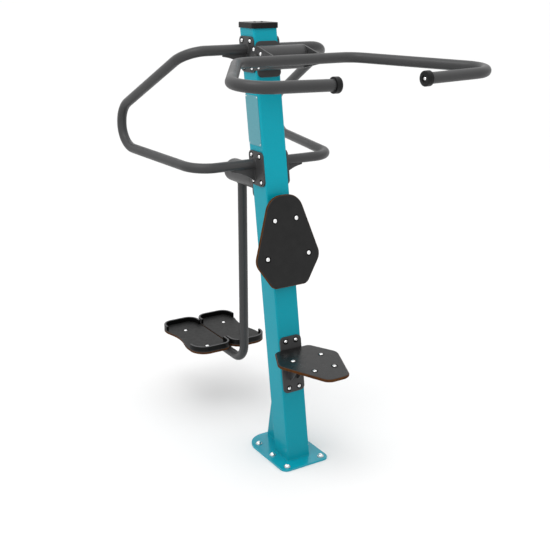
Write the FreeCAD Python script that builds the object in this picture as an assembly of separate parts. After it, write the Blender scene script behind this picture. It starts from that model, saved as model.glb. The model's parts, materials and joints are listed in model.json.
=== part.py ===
import FreeCAD, Part
import math
import os

os.makedirs("parts", exist_ok=True)
V = FreeCAD.Vector

# Base plate and its ground anchors
base_t = 10.0
base_half_w = 127.0
base_front = 130.0
base_rear = 238.0
base_front_r = 32.0
base_rear_r = 100.0
anchor_side = 34.0
anchor_front = 27.0
anchor_rear = 84.0
anchor_hole_r = 7.0
anchor_stud_r = 6.0
anchor_gap = 0.5
washer_r = 15.0
washer_t = 3.0
cap_nut_across = 22.0
cap_nut_h = 11.0
cap_nut_dome_r = 10.6
cap_nut_top_r = 5.0
cap_nut_dome = 8.0
cap_nut_depth = 14.0

# Post, its gusset and its cap
post_w = 120.0
post_wall = 4.0
post_corner_r = 7.0
post_len = 1970.0
lean = 8.65
gusset_t = 10.0
gusset_inset = 22.0
gusset_top = 430.0
gusset_toe = 14.0
gusset_relief = 18.0
cap_overhang = 6.0
cap_t = 24.0
cap_edge_r = 4.0
cap_plug = 22.0
cap_plug_wall = 4.0
cap_plug_r = 2.0
cap_gap = 0.5
cap_screw_x = 18.0
cap_screw_r = 2.5
cap_screw_gap = 0.1
cap_screw_head_r = 6.0
cap_screw_head_h = 3.0

# Plate with the notices
notice_w = 104.0
notice_h = 220.0
notice_t = 1.5
notice_r = 6.0
notice_down = 397.0
notice_back = 4.0
rivet_inset = 7.0
rivet_r = 2.0
rivet_gap = 0.1
rivet_head_r = 3.5
rivet_head_h = 1.6

# Plates that bolt to the post, and the bolts of post and boards
plate_w = 116.0
plate_h = 154.0
plate_t = 8.0
plate_r = 22.0
plate_bolt_w = 67.0
plate_bolt_h = 115.0
bolt_r = 5.0
bolt_gap = 0.5
bolt_head_r = 10.5
bolt_head_h = 6.5
wall_head_r = 8.75
wall_head_h = 5.5
bolt_tail = 2.0
nut_across = 17.0
nut_h = 9.0
thread_gap = 0.05
head_crown = 0.6

# Handle loops
tube_r = 22.25
tube_wall = 2.6
loop_wall = 2.0
loop_bend = 110.0
loop_top_down = 111.0
loop_low_down = 609.0
loop_rise = 22.0
loop_top_u = 5.0
loop_low_u = 18.0
loop_top_x = 361.0
loop_low_x = 356.0
loop_back_top_x = 431.0
loop_back_top_behind = 559.2
loop_back_top_below = 290.9
loop_back_low_x = 438.0
loop_back_low_behind = 624.2
loop_back_low_above = 26.7
web_t = 6.0
web_len = 118.0
web_drop = 54.0
web_toe = 6.0
web_curve = 0.45

# Boards, and the back pad with its carrier
board_t = 15.0
board_bevel = 4.5
board_hole_r = 5.5
pad_gap = 33.0
pad_half = ((90.0, 824.5, 38.0), (172.0, 949.0, 60.0), (76.0, 1240.0, 84.0))
pad_bolts = ((56.0, 1129.5), (108.0, 963.7))
pad_bar_h = 44.0
pad_bar_t = 6.0
pad_bar_r = 12.0
pad_bar_end = 24.0
pad_spine_w = 64.0
pad_spine_wall = 5.0
pad_spine_low = 920.0
pad_spine_high = 1170.0
pad_spine_bolt_in = 81.0

# Seat, measured forward from its rear edge
seat_top = 544.0
seat_gap = 4.5
seat_half = ((92.0, 0.0, 28.0), (160.0, 138.0, 50.0), (56.0, 382.0, 48.0))
seat_bolts = ((75.0, 128.0), (52.0, 266.0))
seat_plate_w = 112.0
seat_plate_h = 266.0
seat_plate_s = 453.0
seat_plate_bolt_w = 54.0
seat_plate_bolt_h = 223.0
shelf_t = 8.0
shelf_rear_w = 46.0
shelf_half = ((100.0, 100.0, 30.0), (74.0, 294.0, 26.0))
seat_rib_x = 16.0
seat_rib_t = 8.0
seat_rib_reach = 118.0
seat_rib_drop = 122.0
seat_rib_toe = 12.0

# Press hub, and what both hubs share
hub_r = 50.8
hub_bore = 45.0
axle_r = 20.0
bearing_w = 23.0
run_gap = 0.05
body_gap = 0.3

# Press arm
press_down = 140.0
press_reach = 101.0
press_half = 100.0
press_bearing_in = 4.0
flange_gap = 1.0
flange_t = 8.0
side_t = 8.0
axle_proud = 3.0
flange_bolts_r = 41.0
flange_bolt_turn = 30.0
small_bolt_r = 4.0
small_head_r = 7.5
small_head_h = 5.0
cheek_x = 34.0
cheek_t = 8.0
cheek_h = 76.0
peg_r = 9.0
peg_len = 78.0
peg_seat = 6.0
peg_side_gap = 1.5
peg_end_gap = 1.0
press_lift = 55.0
buffer_t = 11.0
buffer_in = 58.0
buffer_out = 88.0
stop_t = 8.0
bar_ahead = 127.0
bar_drop = 2.0
bar_half = 283.0
bar_bend = 100.0
grip_corner_x = 642.0
grip_corner_ahead = 587.0
grip_corner_below = 23.4
grip_len = 446.0
grip_back = 6.0
grip_drop = 12.0
end_cap_r = 30.0
end_cap_len = 25.0
end_cap_floor = 10.0
end_cap_edge_r = 4.0
end_screw_in = 6.0

# Swing, measured rearward along its axis
swing_z = 1288.5
swing_r = 54.0
swing_bore = 48.0
stub_len = 27.1
sleeve_gap = 1.5
sleeve_len = 234.0
swing_bearing_in = 5.5
swing_bearing_back = 45.0
neck_r = 15.0
neck_back = 14.0
swing_washer_r = 29.0
swing_washer_t = 4.0
swing_nut_across = 46.0
swing_nut_h = 20.0
dome_len = 15.0
dome_edge_r = 13.0
dome_plug = 12.0
dome_plug_wall = 5.0
stop_ring_in = 80.5
stop_ring_w = 24.0
stop_ring_gap = 2.0
stop_key_w = 14.0
stop_key_r = 40.0
stop_key_seat = 5.0
swing_turn = 35.0
arm_in = 161.1
arm_bend = 90.0
arm_run = 477.0
plug_t = 4.0
plug_len = 18.0

# Foot boards, measured rearward from the swing arm
foot_top = 360.0
foot_rows = (181.0, 432.0)
foot_bolt_x = 116.0
foot_bar_w = 60.0
foot_bar_t = 6.0
foot_bar_r = 14.0
foot_bar_len = 330.0
foot_outline = (
    (4.0, 109.0, 52.0), (209.0, 109.0, 80.0), (209.0, 237.0, 150.0), (180.0, 362.0, 260.0),
    (209.0, 487.0, 110.0), (190.0, 559.0, 60.0), (4.0, 559.0, 60.0),
)
foot_bevel = 1.5
rim_t = 11.0
rim_h = 25.0
rim_edge_r = 3.5
rim_front_to = 197.0
rim_rear_from = 477.0

# Values that follow from the sizes above
far = 4000.0
past = 1.0
sin_l = math.sin(math.radians(lean))
cos_l = math.cos(math.radians(lean))
tan_l = math.tan(math.radians(lean))
half = post_w / 2
post_top = base_t + post_len * cos_l
notice_s = post_len - notice_down
loop_top_s = post_len - loop_top_down
loop_low_s = post_len - loop_low_down
press_s = post_len - press_down
anchor_x = base_half_w - anchor_side
anchor_first = -base_front + anchor_front
anchor_last = base_rear - anchor_rear
anchor_rows = (anchor_first, (anchor_first + anchor_last) / 2, anchor_last)
swing_plate_s = (swing_z - base_t + half * sin_l) / cos_l
stub_end = (half + plate_t) / cos_l + (swing_z - base_t) * tan_l + stub_len
sleeve_start = stub_end + sleeve_gap
sleeve_end = sleeve_start + sleeve_len
arm_y = sleeve_start + arm_in
pad_spine_bolts = (pad_spine_low + pad_spine_bolt_in, pad_spine_high - pad_spine_bolt_in)
FACES = {"front": 0, "right": 90, "rear": 180, "left": 270}
SIDES = (("left", -1), ("right", 1))
SLANTS = {"left": -tan_l, "right": tan_l}


def save(name, *solids):
    """Writes one node, a single piece or a group of like pieces."""
    shape = solids[0]
    if len(solids) > 1:
        shape = Part.makeCompound(list(solids))
    shape.exportStep(f"parts/{name}.step")


def outline(corners):
    """Closed wire through the corners (x, y, radius), each rounded by a tangent arc."""
    count = len(corners)
    arcs = []
    for i in range(count):
        x, y, r = corners[i]
        p = V(x, y, 0)
        before = V(corners[i - 1][0], corners[i - 1][1], 0)
        after = V(corners[(i + 1) % count][0], corners[(i + 1) % count][1], 0)
        a = (before - p).normalize()
        b = (after - p).normalize()
        turn = a.getAngle(b) / 2
        inward = (a + b).normalize()
        reach = r / math.tan(turn)
        crown = p + inward * (r / math.sin(turn) - r)
        arcs.append((p + a * reach, crown, p + b * reach, r))
    edges = []
    for i in range(count):
        start, crown, end, r = arcs[i]
        following = arcs[(i + 1) % count][0]
        if r > 0:
            edges.append(Part.Arc(start, crown, end).toShape())
        if (following - end).Length > 1e-6:
            edges.append(Part.makeLine(end, following))
    return Part.Wire(edges)


def slab(corners, thick):
    """Flat piece with a rounded outline, standing on z = 0."""
    return Part.Face(outline(corners)).extrude(V(0, 0, thick))


def both_halves(right_half):
    """Whole outline from the corners of its right half, listed from bottom to top."""
    left_half = [(-x, y, r) for x, y, r in reversed(right_half)]
    return list(right_half) + left_half


def rectangle(w, h, r):
    """Corners of a rounded rectangle about the origin."""
    return [(-w / 2, -h / 2, r), (w / 2, -h / 2, r), (w / 2, h / 2, r), (-w / 2, h / 2, r)]


def edges_at(shape, z):
    """Edges of a shape that lie at height z."""
    return [e for e in shape.Edges if abs(e.BoundBox.ZMin - z) < 1e-6 and abs(e.BoundBox.ZMax - z) < 1e-6]


def drill(shape, spots, r, depth):
    """Round holes through a slab that stands on z = 0."""
    for x, y in spots:
        shape = shape.cut(Part.makeCylinder(r, depth + 2 * past, V(x, y, -past)))
    return shape


def four_spots(w, h):
    """Corner points of a bolt pattern."""
    return [(x, y) for x in (-w / 2, w / 2) for y in (-h / 2, h / 2)]


def mirrored(spots):
    """The spots and their mirror images across x."""
    return [(x * sign, y) for x, y in spots for sign in (-1, 1)]


def placed(shape, x, y, z):
    """Copy of a shape moved by x, y and z."""
    out = shape.copy()
    out.translate(V(x, y, z))
    return out


def level_rows(points, face):
    """Points drawn on a face of the post, slid along it so that their rows lie level."""
    slant = SLANTS.get(face, 0)
    return [(point[0], point[1] + slant * point[0], *point[2:]) for point in points]


def above(z):
    """Everything above height z."""
    return Part.makeBox(2 * far, 2 * far, far, V(-far, -far, z))


def on_post(shape):
    """Moves a shape drawn on an upright post to the leaning one."""
    out = shape.copy()
    out.rotate(V(0, 0, 0), V(1, 0, 0), -lean)
    out.translate(V(0, 0, base_t))
    return out


def on_face(shape, face, s):
    """Lays a slab drawn on z = 0 against a face of the post at s along it."""
    out = shape.copy()
    out.rotate(V(0, 0, 0), V(1, 0, 0), 90)
    out.translate(V(0, -half, s))
    out.rotate(V(0, 0, 0), V(0, 0, 1), FACES[face])
    return on_post(out)


def behind_face(face, off):
    """Everything on the post's side of the plane that lies off outside one of its faces."""
    return on_face(Part.makeBox(2 * far, 2 * far, far, V(-far, -far, off - far)), face, 0)


def post_point(x, u, s):
    """Point at x across, u toward the rear and s along the post."""
    return V(x, u * cos_l + s * sin_l, base_t + s * cos_l - u * sin_l)


def front_y(z, off):
    """The y at height z of the plane that lies off ahead of the post's front face."""
    return -(half + off) / cos_l + (z - base_t) * tan_l


def rear_y(z):
    """The y at height z of the post's rear face."""
    return half / cos_l + (z - base_t) * tan_l


def head_bolt(r, length, head_r, head_h):
    """Round-headed bolt with the head on z = 0 and the shank below."""
    head = Part.makeCone(head_r, head_r * head_crown, head_h)
    shank = Part.makeCylinder(r, length, V(0, 0, -length))
    return head.fuse(shank).removeSplitter()


def hexagon(across, h, z):
    """Six-sided prism on the plane z."""
    r = across / math.sqrt(3)
    points = [V(r * math.cos(math.radians(60 * k)), r * math.sin(math.radians(60 * k)), z) for k in range(7)]
    return Part.Face(Part.makePolygon(points)).extrude(V(0, 0, h))


def nut():
    """Plain nut hanging below z = 0."""
    bore = Part.makeCylinder(bolt_r + thread_gap, nut_h + 2 * past, V(0, 0, -nut_h - past))
    return hexagon(nut_across, nut_h, -nut_h).cut(bore)


def board_bolt(grip):
    """Bolt that holds a board, long enough for its grip and nut."""
    return head_bolt(bolt_r, grip + nut_h + bolt_tail, bolt_head_r, bolt_head_h)


def wall_bolt(grip):
    """Bolt through the post wall in one with the blind nut that it draws tight inside."""
    bolt = head_bolt(bolt_r, grip + nut_h, wall_head_r, wall_head_h)
    return bolt.fuse(hexagon(nut_across, nut_h, -grip - nut_h)).removeSplitter()


def leg(start, along, r, bore):
    """Straight length of rod, or of tube where there is a bore."""
    body = Part.makeCylinder(r, along.Length, start, along)
    if bore > 0:
        body = body.cut(Part.makeCylinder(bore, along.Length, start, along))
    return body


def elbow(first, way, r, bore, centre, axis, angle):
    """Bend of rod, or of tube where there is a bore, from its first section."""
    disc = Part.Face(Part.Wire(Part.Circle(first, way, r).toShape()))
    body = disc.revolve(centre, axis, angle)
    if bore > 0:
        hole = Part.Face(Part.Wire(Part.Circle(first, way, bore).toShape()))
        body = body.cut(hole.revolve(centre, axis, angle))
    return body


def bent_rod(points, bend, r, bore=0):
    """Round rod, or tube where there is a bore, of straight legs joined by tangent bends."""
    pieces = []
    start = points[0]
    for i in range(1, len(points) - 1):
        a = (points[i - 1] - points[i]).normalize()
        b = (points[i + 1] - points[i]).normalize()
        inner = a.getAngle(b)
        reach = bend / math.tan(inner / 2)
        first = points[i] + a * reach
        centre = points[i] + (a + b).normalize() * (bend / math.sin(inner / 2))
        axis = (b.cross(a)).normalize()
        pieces.append(leg(start, first - start, r, bore))
        pieces.append(elbow(first, a, r, bore, centre, axis, 180 - math.degrees(inner)))
        start = points[i] + b * reach
    pieces.append(leg(start, points[-1] - start, r, bore))
    return pieces[0].multiFuse(pieces[1:]).removeSplitter()


def along_x(shape, y, z):
    """Turns a shape drawn about the z axis to run along x through (y, z)."""
    out = shape.copy()
    out.rotate(V(0, 0, 0), V(0, 1, 0), 90)
    out.translate(V(0, y, z))
    return out


def ring(outer, inner, start, end):
    """Round ring about z between two heights."""
    body = Part.makeCylinder(outer, end - start, V(0, 0, start))
    return body.cut(Part.makeCylinder(inner, end - start + 2 * past, V(0, 0, start - past)))


def rod_y(r, start, end):
    """Round rod on the swing axis between two stations along y."""
    return Part.makeCylinder(r, end - start, V(0, start, swing_z), V(0, 1, 0))


def ring_y(outer, inner, start, end):
    """Round ring on the swing axis between two stations along y."""
    return rod_y(outer, start, end).cut(rod_y(inner, start - past, end + past))


def build_base():
    """Floor plate, rear gusset, and the washers and cap nuts of the ground anchors."""
    corners = both_halves([(base_half_w, -base_front, base_front_r), (base_half_w, base_rear, base_rear_r)])
    spots = [(x, y) for x in (-anchor_x, anchor_x) for y in anchor_rows]
    save("base_plate", drill(slab(corners, base_t), spots, anchor_hole_r, base_t))

    toe_y = base_rear - gusset_inset
    relief_z = base_t + gusset_relief
    points = [
        V(0, rear_y(base_t) + gusset_relief, base_t), V(0, toe_y, base_t), V(0, toe_y, base_t + gusset_toe),
        V(0, rear_y(gusset_top) + gusset_toe, gusset_top), V(0, rear_y(gusset_top), gusset_top),
        V(0, rear_y(relief_z), relief_z),
    ]
    plate = Part.Face(Part.makePolygon(points + points[:1])).extrude(V(gusset_t, 0, 0))
    save("base_gusset", placed(plate, -gusset_t / 2, 0, 0))

    washer = ring(washer_r, anchor_stud_r + anchor_gap, 0, washer_t)
    save("anchor_washers", *[placed(washer, x, y, base_t) for x, y in spots])
    dome = Part.makeCone(cap_nut_dome_r, cap_nut_top_r, cap_nut_dome, V(0, 0, cap_nut_h))
    cap_nut = hexagon(cap_nut_across, cap_nut_h, 0).fuse(dome).removeSplitter()
    cap_nut = cap_nut.cut(Part.makeCylinder(anchor_stud_r, cap_nut_depth))
    save("anchor_nuts", *[placed(cap_nut, x, y, base_t + washer_t) for x, y in spots])


def bolt_sites():
    """Every bolt through the post wall as (face, s, x, thickness under its head)."""
    plates = [(face, s) for face in ("left", "right") for s in (loop_top_s, loop_low_s)]
    plates.append(("rear", swing_plate_s))
    sites = []
    for face, s in plates:
        spots = level_rows(four_spots(plate_bolt_w, plate_bolt_h), face)
        sites += [(face, s + y, x, plate_t) for x, y in spots]
    for x, y in four_spots(seat_plate_bolt_w, seat_plate_bolt_h):
        sites.append(("front", seat_plate_s + y, x, plate_t))
    for s in pad_spine_bolts:
        sites.append(("front", s, 0, pad_spine_wall))
    return sites


def build_post():
    """Square post cut level at both ends, with the bolts through its walls."""
    inner_w = post_w - 2 * post_wall
    outer = slab(rectangle(post_w, post_w, post_corner_r), post_len + 2 * half)
    inner = slab(rectangle(inner_w, inner_w, post_corner_r - post_wall), post_len + 2 * half)
    tube = on_post(placed(outer.cut(inner), 0, 0, -half))
    tube = tube.cut(above(base_t - far)).cut(above(post_top))
    bolts = []
    for face, s, x, under in bolt_sites():
        hole = Part.makeCylinder(bolt_r + bolt_gap, 3 * post_wall, V(x, 0, -2 * post_wall))
        tube = tube.cut(on_face(hole, face, s))
        bolts.append(on_face(placed(wall_bolt(under + post_wall), x, 0, under), face, s))
    save("post_tube", tube)
    save("post_bolts", *bolts)


def build_cap():
    """Level moulded cap with a plug in the leaning post and two screws."""
    wide = post_w + 2 * cap_overhang
    deep = post_w / cos_l + 2 * cap_overhang
    top = slab(rectangle(wide, deep, post_corner_r + cap_overhang), cap_t)
    top = top.makeFillet(cap_edge_r, edges_at(top, cap_t))
    middle = post_len * sin_l
    spots = [(-cap_screw_x, 0), (cap_screw_x, 0)]
    top = placed(drill(top, spots, cap_screw_r + cap_screw_gap, cap_t), 0, middle, post_top)
    plug_w = post_w - 2 * post_wall - 2 * cap_gap
    well_w = plug_w - 2 * cap_plug_wall
    plug = slab(rectangle(plug_w, plug_w, post_corner_r - post_wall), cap_plug + half)
    plug = plug.cut(slab(rectangle(well_w, well_w, cap_plug_r), cap_plug + half))
    plug = on_post(placed(plug, 0, 0, post_len - cap_plug)).cut(above(post_top))
    save("post_cap", top.fuse(plug).removeSplitter())
    screw = head_bolt(cap_screw_r, cap_t, cap_screw_head_r, cap_screw_head_h)
    save("cap_screws", *[placed(screw, x, middle + y, post_top + cap_t) for x, y in spots])


def build_notice():
    """Thin plate for the notices, riveted to the left face."""
    spots = four_spots(notice_w - 2 * rivet_inset, notice_h - 2 * rivet_inset)
    spots = level_rows([(x - notice_back, y) for x, y in spots], "left")
    corners = [(x - notice_back, y, r) for x, y, r in rectangle(notice_w, notice_h, notice_r)]
    plate = slab(level_rows(corners, "left"), notice_t)
    save("notice_plate", on_face(drill(plate, spots, rivet_r + rivet_gap, notice_t), "left", notice_s))
    rivet = head_bolt(rivet_r, notice_t, rivet_head_r, rivet_head_h)
    save("notice_rivets", *[on_face(placed(rivet, x, y, notice_t), "left", notice_s) for x, y in spots])


def post_plate(face):
    """Plain plate of the kind that carries the loops, the press arm and the swing."""
    return slab(level_rows(rectangle(plate_w, plate_h, plate_r), face), plate_t)


def bolted_plate(face):
    """The plain plate with its four bolt holes."""
    spots = level_rows(four_spots(plate_bolt_w, plate_bolt_h), face)
    return drill(post_plate(face), spots, bolt_r + bolt_gap, plate_t)


def loop_points(sign):
    """Corner points of one handle loop from its upper to its lower plate."""
    x = (half + plate_t) * sign
    top = post_point(0, loop_top_u, loop_top_s + loop_rise)
    low = post_point(0, loop_low_u, loop_low_s + loop_rise)
    return [
        V(x, top.y, top.z),
        V(loop_top_x * sign, top.y, top.z),
        V(loop_back_top_x * sign, top.y + loop_back_top_behind, top.z - loop_back_top_below),
        V(loop_back_low_x * sign, low.y + loop_back_low_behind, low.z + loop_back_low_above),
        V(loop_low_x * sign, low.y, low.z),
        V(x, low.y, low.z),
    ]


def loop_web(sign, u, s, rod):
    """Curved web under a tube end, drawn beside the upright post and leaned with it."""
    x0 = (half + plate_t) * sign
    x1 = x0 + web_len * sign
    foot_x = x0 + web_toe * sign
    top = s + loop_rise
    under = top - tube_r
    toe = V(x1, u, under - web_toe)
    foot = V(foot_x, u, under - web_drop)
    middle = V(x0 + web_curve * web_len * sign, u, under - web_curve * web_drop)
    curve = Part.Arc(toe, middle, foot).toShape()
    lines = Part.makePolygon([foot, V(x0, u, foot.z), V(x0, u, top), V(x1, u, top), toe])
    web = Part.Face(Part.Wire([curve] + lines.Edges)).extrude(V(0, web_t, 0))
    return on_post(placed(web, 0, -web_t / 2, 0)).cut(rod)


def build_loops():
    """Both handle loops with their plates and webs."""
    for name, sign in SIDES:
        points = loop_points(sign)
        save(f"handle_tube_{name}", bent_rod(points, loop_bend, tube_r, tube_r - loop_wall))
        plate = bolted_plate(name)
        save(f"handle_plates_{name}", *[on_face(plate, name, s) for s in (loop_top_s, loop_low_s)])
        rod = bent_rod(points, loop_bend, tube_r)
        upper = loop_web(sign, loop_top_u, loop_top_s, rod)
        lower = loop_web(sign, loop_low_u, loop_low_s, rod)
        save(f"handle_webs_{name}", upper, lower)


def board(corners, spots, bevel):
    """Flat board with bevelled edges and bolt holes."""
    flat = slab(corners, board_t)
    flat = flat.makeChamfer(bevel, edges_at(flat, board_t) + edges_at(flat, 0))
    return drill(flat, spots, board_hole_r, board_t)


def build_pad():
    """Back pad on two bars across a folded spine."""
    reach = pad_gap - pad_bar_t
    length = pad_spine_high - pad_spine_low
    hollow_w = pad_spine_w - 2 * pad_spine_wall
    spine = Part.makeBox(pad_spine_w, length, reach, V(-pad_spine_w / 2, pad_spine_low, 0))
    spine = spine.cut(Part.makeBox(hollow_w, length, reach, V(-hollow_w / 2, pad_spine_low, pad_spine_wall)))
    spine = drill(spine, [(0, s) for s in pad_spine_bolts], bolt_r + bolt_gap, pad_spine_wall)
    save("pad_spine", on_face(spine, "front", 0))
    bars = []
    for x, s in pad_bolts:
        bar = slab(rectangle(2 * (x + pad_bar_end), pad_bar_h, pad_bar_r), pad_bar_t)
        bar = drill(bar, [(-x, 0), (x, 0)], board_hole_r, pad_bar_t)
        bars.append(on_face(placed(bar, 0, 0, reach), "front", s))
    save("pad_bars", *bars)
    flat = board(both_halves(pad_half), mirrored(pad_bolts), board_bevel)
    save("pad_board", on_face(placed(flat, 0, 0, pad_gap), "front", 0))


def seat_edge():
    """The y of the seat's rear edge."""
    return front_y(seat_top, plate_t) - seat_gap


def seat_spots():
    """Bolt points of the seat as (x, y)."""
    return mirrored([(x, seat_edge() - ahead) for x, ahead in seat_bolts])


def build_seat():
    """Seat board on a shelf and two ribs that stand on a tall plate."""
    spots = four_spots(seat_plate_bolt_w, seat_plate_bolt_h)
    plate = slab(rectangle(seat_plate_w, seat_plate_h, plate_r), plate_t)
    save("seat_plate", on_face(drill(plate, spots, bolt_r + bolt_gap, plate_t), "front", seat_plate_s))

    rear = seat_edge()
    under = seat_top - board_t
    corners = [(x, rear - ahead, r) for x, ahead, r in reversed(seat_half)]
    flat = board(both_halves(corners), seat_spots(), board_bevel)
    save("seat_board", placed(flat, 0, 0, under))

    top = under - shelf_t
    corners = [(x, rear - ahead, r) for x, ahead, r in reversed(shelf_half)]
    corners.append((shelf_rear_w, front_y(under, 0), 0))
    shelf = drill(slab(both_halves(corners), shelf_t), seat_spots(), board_hole_r, shelf_t)
    save("seat_shelf", placed(shelf, 0, 0, top).cut(behind_face("front", plate_t)))

    low = top - seat_rib_drop
    front = front_y(top, plate_t) - seat_rib_reach
    points = [
        V(0, front_y(top, plate_t), top), V(0, front_y(low, plate_t), low),
        V(0, front_y(low, plate_t) - seat_rib_toe, low),
        V(0, front, top - seat_rib_toe), V(0, front, top),
    ]
    rib = Part.Face(Part.makePolygon(points + points[:1])).extrude(V(seat_rib_t, 0, 0))
    save("seat_ribs", *[placed(rib, x, 0, 0) for x in (-seat_rib_x - seat_rib_t, seat_rib_x)])


def build_board_fasteners():
    """Bolts and nuts of the pad and the seat."""
    bolts = []
    nuts = []
    for x, s in mirrored(pad_bolts):
        bolts.append(on_face(placed(board_bolt(board_t + pad_bar_t), x, 0, pad_gap + board_t), "front", s))
        nuts.append(on_face(placed(nut(), x, 0, pad_gap - pad_bar_t), "front", s))
    for x, y in seat_spots():
        bolts.append(placed(board_bolt(board_t + shelf_t), x, y, seat_top))
        nuts.append(placed(nut(), x, y, seat_top - board_t - shelf_t))
    save("board_bolts", *bolts)
    save("board_nuts", *nuts)


def press_hub():
    """Centre of the press arm's hub."""
    return post_point(0, -half - press_reach, press_s)


def build_press_housing():
    """Fixed half of the press: plate, cheeks, slotted housing, bearings and the padded stop."""
    hub = press_hub()
    save("press_plate", on_face(post_plate("front"), "front", press_s))

    housing = along_x(ring(hub_r, hub_bore, -press_half, press_half), hub.y, hub.z)
    spread = math.degrees(math.asin((peg_r + peg_end_gap) / hub_bore))
    slot_x = peg_r + peg_side_gap
    near = hub.y + axle_r
    beyond = hub.y + hub_r + peg_r
    window = Part.Face(Part.makePolygon([
        V(-slot_x, near, hub.z), V(slot_x, near, hub.z), V(slot_x, beyond, hub.z), V(-slot_x, beyond, hub.z),
        V(-slot_x, near, hub.z),
    ]))
    window.rotate(hub, V(1, 0, 0), spread - lean)
    window = window.revolve(hub, V(1, 0, 0), -press_lift - 2 * spread)
    save("press_housing", housing.cut(window))

    core = along_x(Part.makeCylinder(hub_r, 2 * press_half, V(0, 0, -press_half)), hub.y, hub.z)
    cheeks = []
    for x in (-cheek_x - cheek_t, cheek_x):
        cheek = Part.makeBox(cheek_t, cheek_h, press_reach - plate_t, V(x, -cheek_h / 2, plate_t))
        cheeks.append(on_face(cheek, "front", press_s).cut(core))
    save("press_cheeks", *cheeks)

    length = buffer_out - buffer_in
    height = press_reach - buffer_out
    level = peg_r + body_gap
    rubber = Part.makeBox(2 * peg_r, buffer_t, length, V(-peg_r, level, height))
    block = Part.makeBox(2 * cheek_x, stop_t, length, V(-cheek_x, level + buffer_t, height))
    save("press_buffer", on_face(rubber, "front", press_s))
    save("press_stop", on_face(block, "front", press_s))

    outer = press_half - press_bearing_in
    bearings = []
    for start in (-outer, outer - bearing_w):
        bearings.append(along_x(ring(hub_bore, axle_r + run_gap, start, start + bearing_w), hub.y, hub.z))
    save("press_bearings", *bearings)


def link(y1, z1, r1, y2, z2, r2, thick):
    """Plate in the y-z plane that wraps two circles, from x = 0 to its thickness."""
    a = V(0, y1, z1)
    b = V(0, y2, z2)
    d = (b - a).normalize()
    n = V(1, 0, 0).cross(d)
    lift = (r1 - r2) / (b - a).Length
    flat = math.sqrt(1 - lift * lift)
    up = d * lift + n * flat
    down = d * lift - n * flat
    edges = [
        Part.Arc(a + up * r1, a - d * r1, a + down * r1).toShape(),
        Part.makeLine(a + down * r1, b + down * r2),
        Part.Arc(b + down * r2, b + d * r2, b + up * r2).toShape(),
        Part.makeLine(b + up * r2, a + up * r1),
    ]
    return Part.Face(Part.Wire(edges)).extrude(V(thick, 0, 0))


def build_press_arm():
    """Turning half of the press: axle with its stop peg, flanges, side plates and the bent bar."""
    hub = press_hub()
    flange_in = press_half + flange_gap
    plate_in = flange_in + flange_t
    plate_out = plate_in + side_t
    reach = plate_out + axle_proud
    axle = along_x(Part.makeCylinder(axle_r, 2 * reach, V(0, 0, -reach)), hub.y, hub.z)
    rear_way = V(0, cos_l, -sin_l)
    root = axle_r - peg_seat
    peg = Part.makeCylinder(peg_r, peg_len - root, hub + rear_way * root, rear_way)
    save("press_axle", axle.cut(peg))
    save("press_peg", peg)

    bar_y = hub.y - bar_ahead
    bar_z = hub.z - bar_drop
    corner = V(grip_corner_x, bar_y - grip_corner_ahead, bar_z - grip_corner_below)
    end = corner + V(-grip_len, grip_back, -grip_drop)
    grip_way = (end - corner).normalize()
    right = [V(bar_half, bar_y, bar_z), corner, end - grip_way * end_cap_floor]
    points = [V(-p.x, p.y, p.z) for p in reversed(right)] + right
    save("press_bar", bent_rod(points, bar_bend, tube_r, tube_r - tube_wall))
    straight = Part.makeCylinder(tube_r, 2 * bar_half, V(-bar_half, bar_y, bar_z), V(1, 0, 0))

    spots = []
    for k in range(4):
        turn = math.radians(flange_bolt_turn + 90 * k)
        spots.append((flange_bolts_r * math.sin(turn), flange_bolts_r * math.cos(turn)))
    shape = link(hub.y, hub.z, hub_r, bar_y, bar_z, tube_r, side_t)
    bolt = head_bolt(small_bolt_r, side_t + flange_t, small_head_r, small_head_h)
    flanges = []
    plates = []
    bolts = []
    for name, sign in SIDES:
        flange_x = min(flange_in * sign, plate_in * sign)
        plate_x = min(plate_in * sign, plate_out * sign)
        flange = along_x(ring(hub_r, axle_r, flange_x, flange_x + flange_t), hub.y, hub.z)
        plate = placed(shape, plate_x, 0, 0).cut(axle).cut(straight)
        for dy, dz in spots:
            hole = Part.makeCylinder(small_bolt_r, 2 * reach, V(0, 0, -reach))
            hole = along_x(hole, hub.y + dy, hub.z + dz)
            flange = flange.cut(hole)
            plate = plate.cut(hole)
            turned = bolt.copy()
            turned.rotate(V(0, 0, 0), V(0, 1, 0), 90 * sign)
            bolts.append(placed(turned, sign * plate_out, hub.y + dy, hub.z + dz))
        flanges.append(flange)
        plates.append(plate)
    save("press_flanges", *flanges)
    save("press_side_plates", *plates)
    save("press_flange_bolts", *bolts)

    cap = Part.makeCylinder(end_cap_r, end_cap_len)
    cap = cap.makeFillet(end_cap_edge_r, edges_at(cap, end_cap_len))
    cap = cap.cut(Part.makeCylinder(tube_r, end_cap_len - end_cap_floor))
    cap = cap.cut(Part.makeCylinder(small_bolt_r, end_cap_len))
    screw = head_bolt(small_bolt_r, end_cap_floor + end_screw_in, small_head_r, small_head_h)
    caps = []
    screws = []
    for name, sign in SIDES:
        way = V(grip_way.x * sign, grip_way.y, grip_way.z)
        tip = V(end.x * sign, end.y, end.z)
        turn = FreeCAD.Rotation(V(0, 0, 1), way)
        for shape, back, group in ((cap, end_cap_len, caps), (screw, 0, screws)):
            piece = shape.copy()
            piece.Placement = FreeCAD.Placement(tip - way * back, turn)
            group.append(piece)
    save("press_end_caps", *caps)
    save("press_end_screws", *screws)


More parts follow.
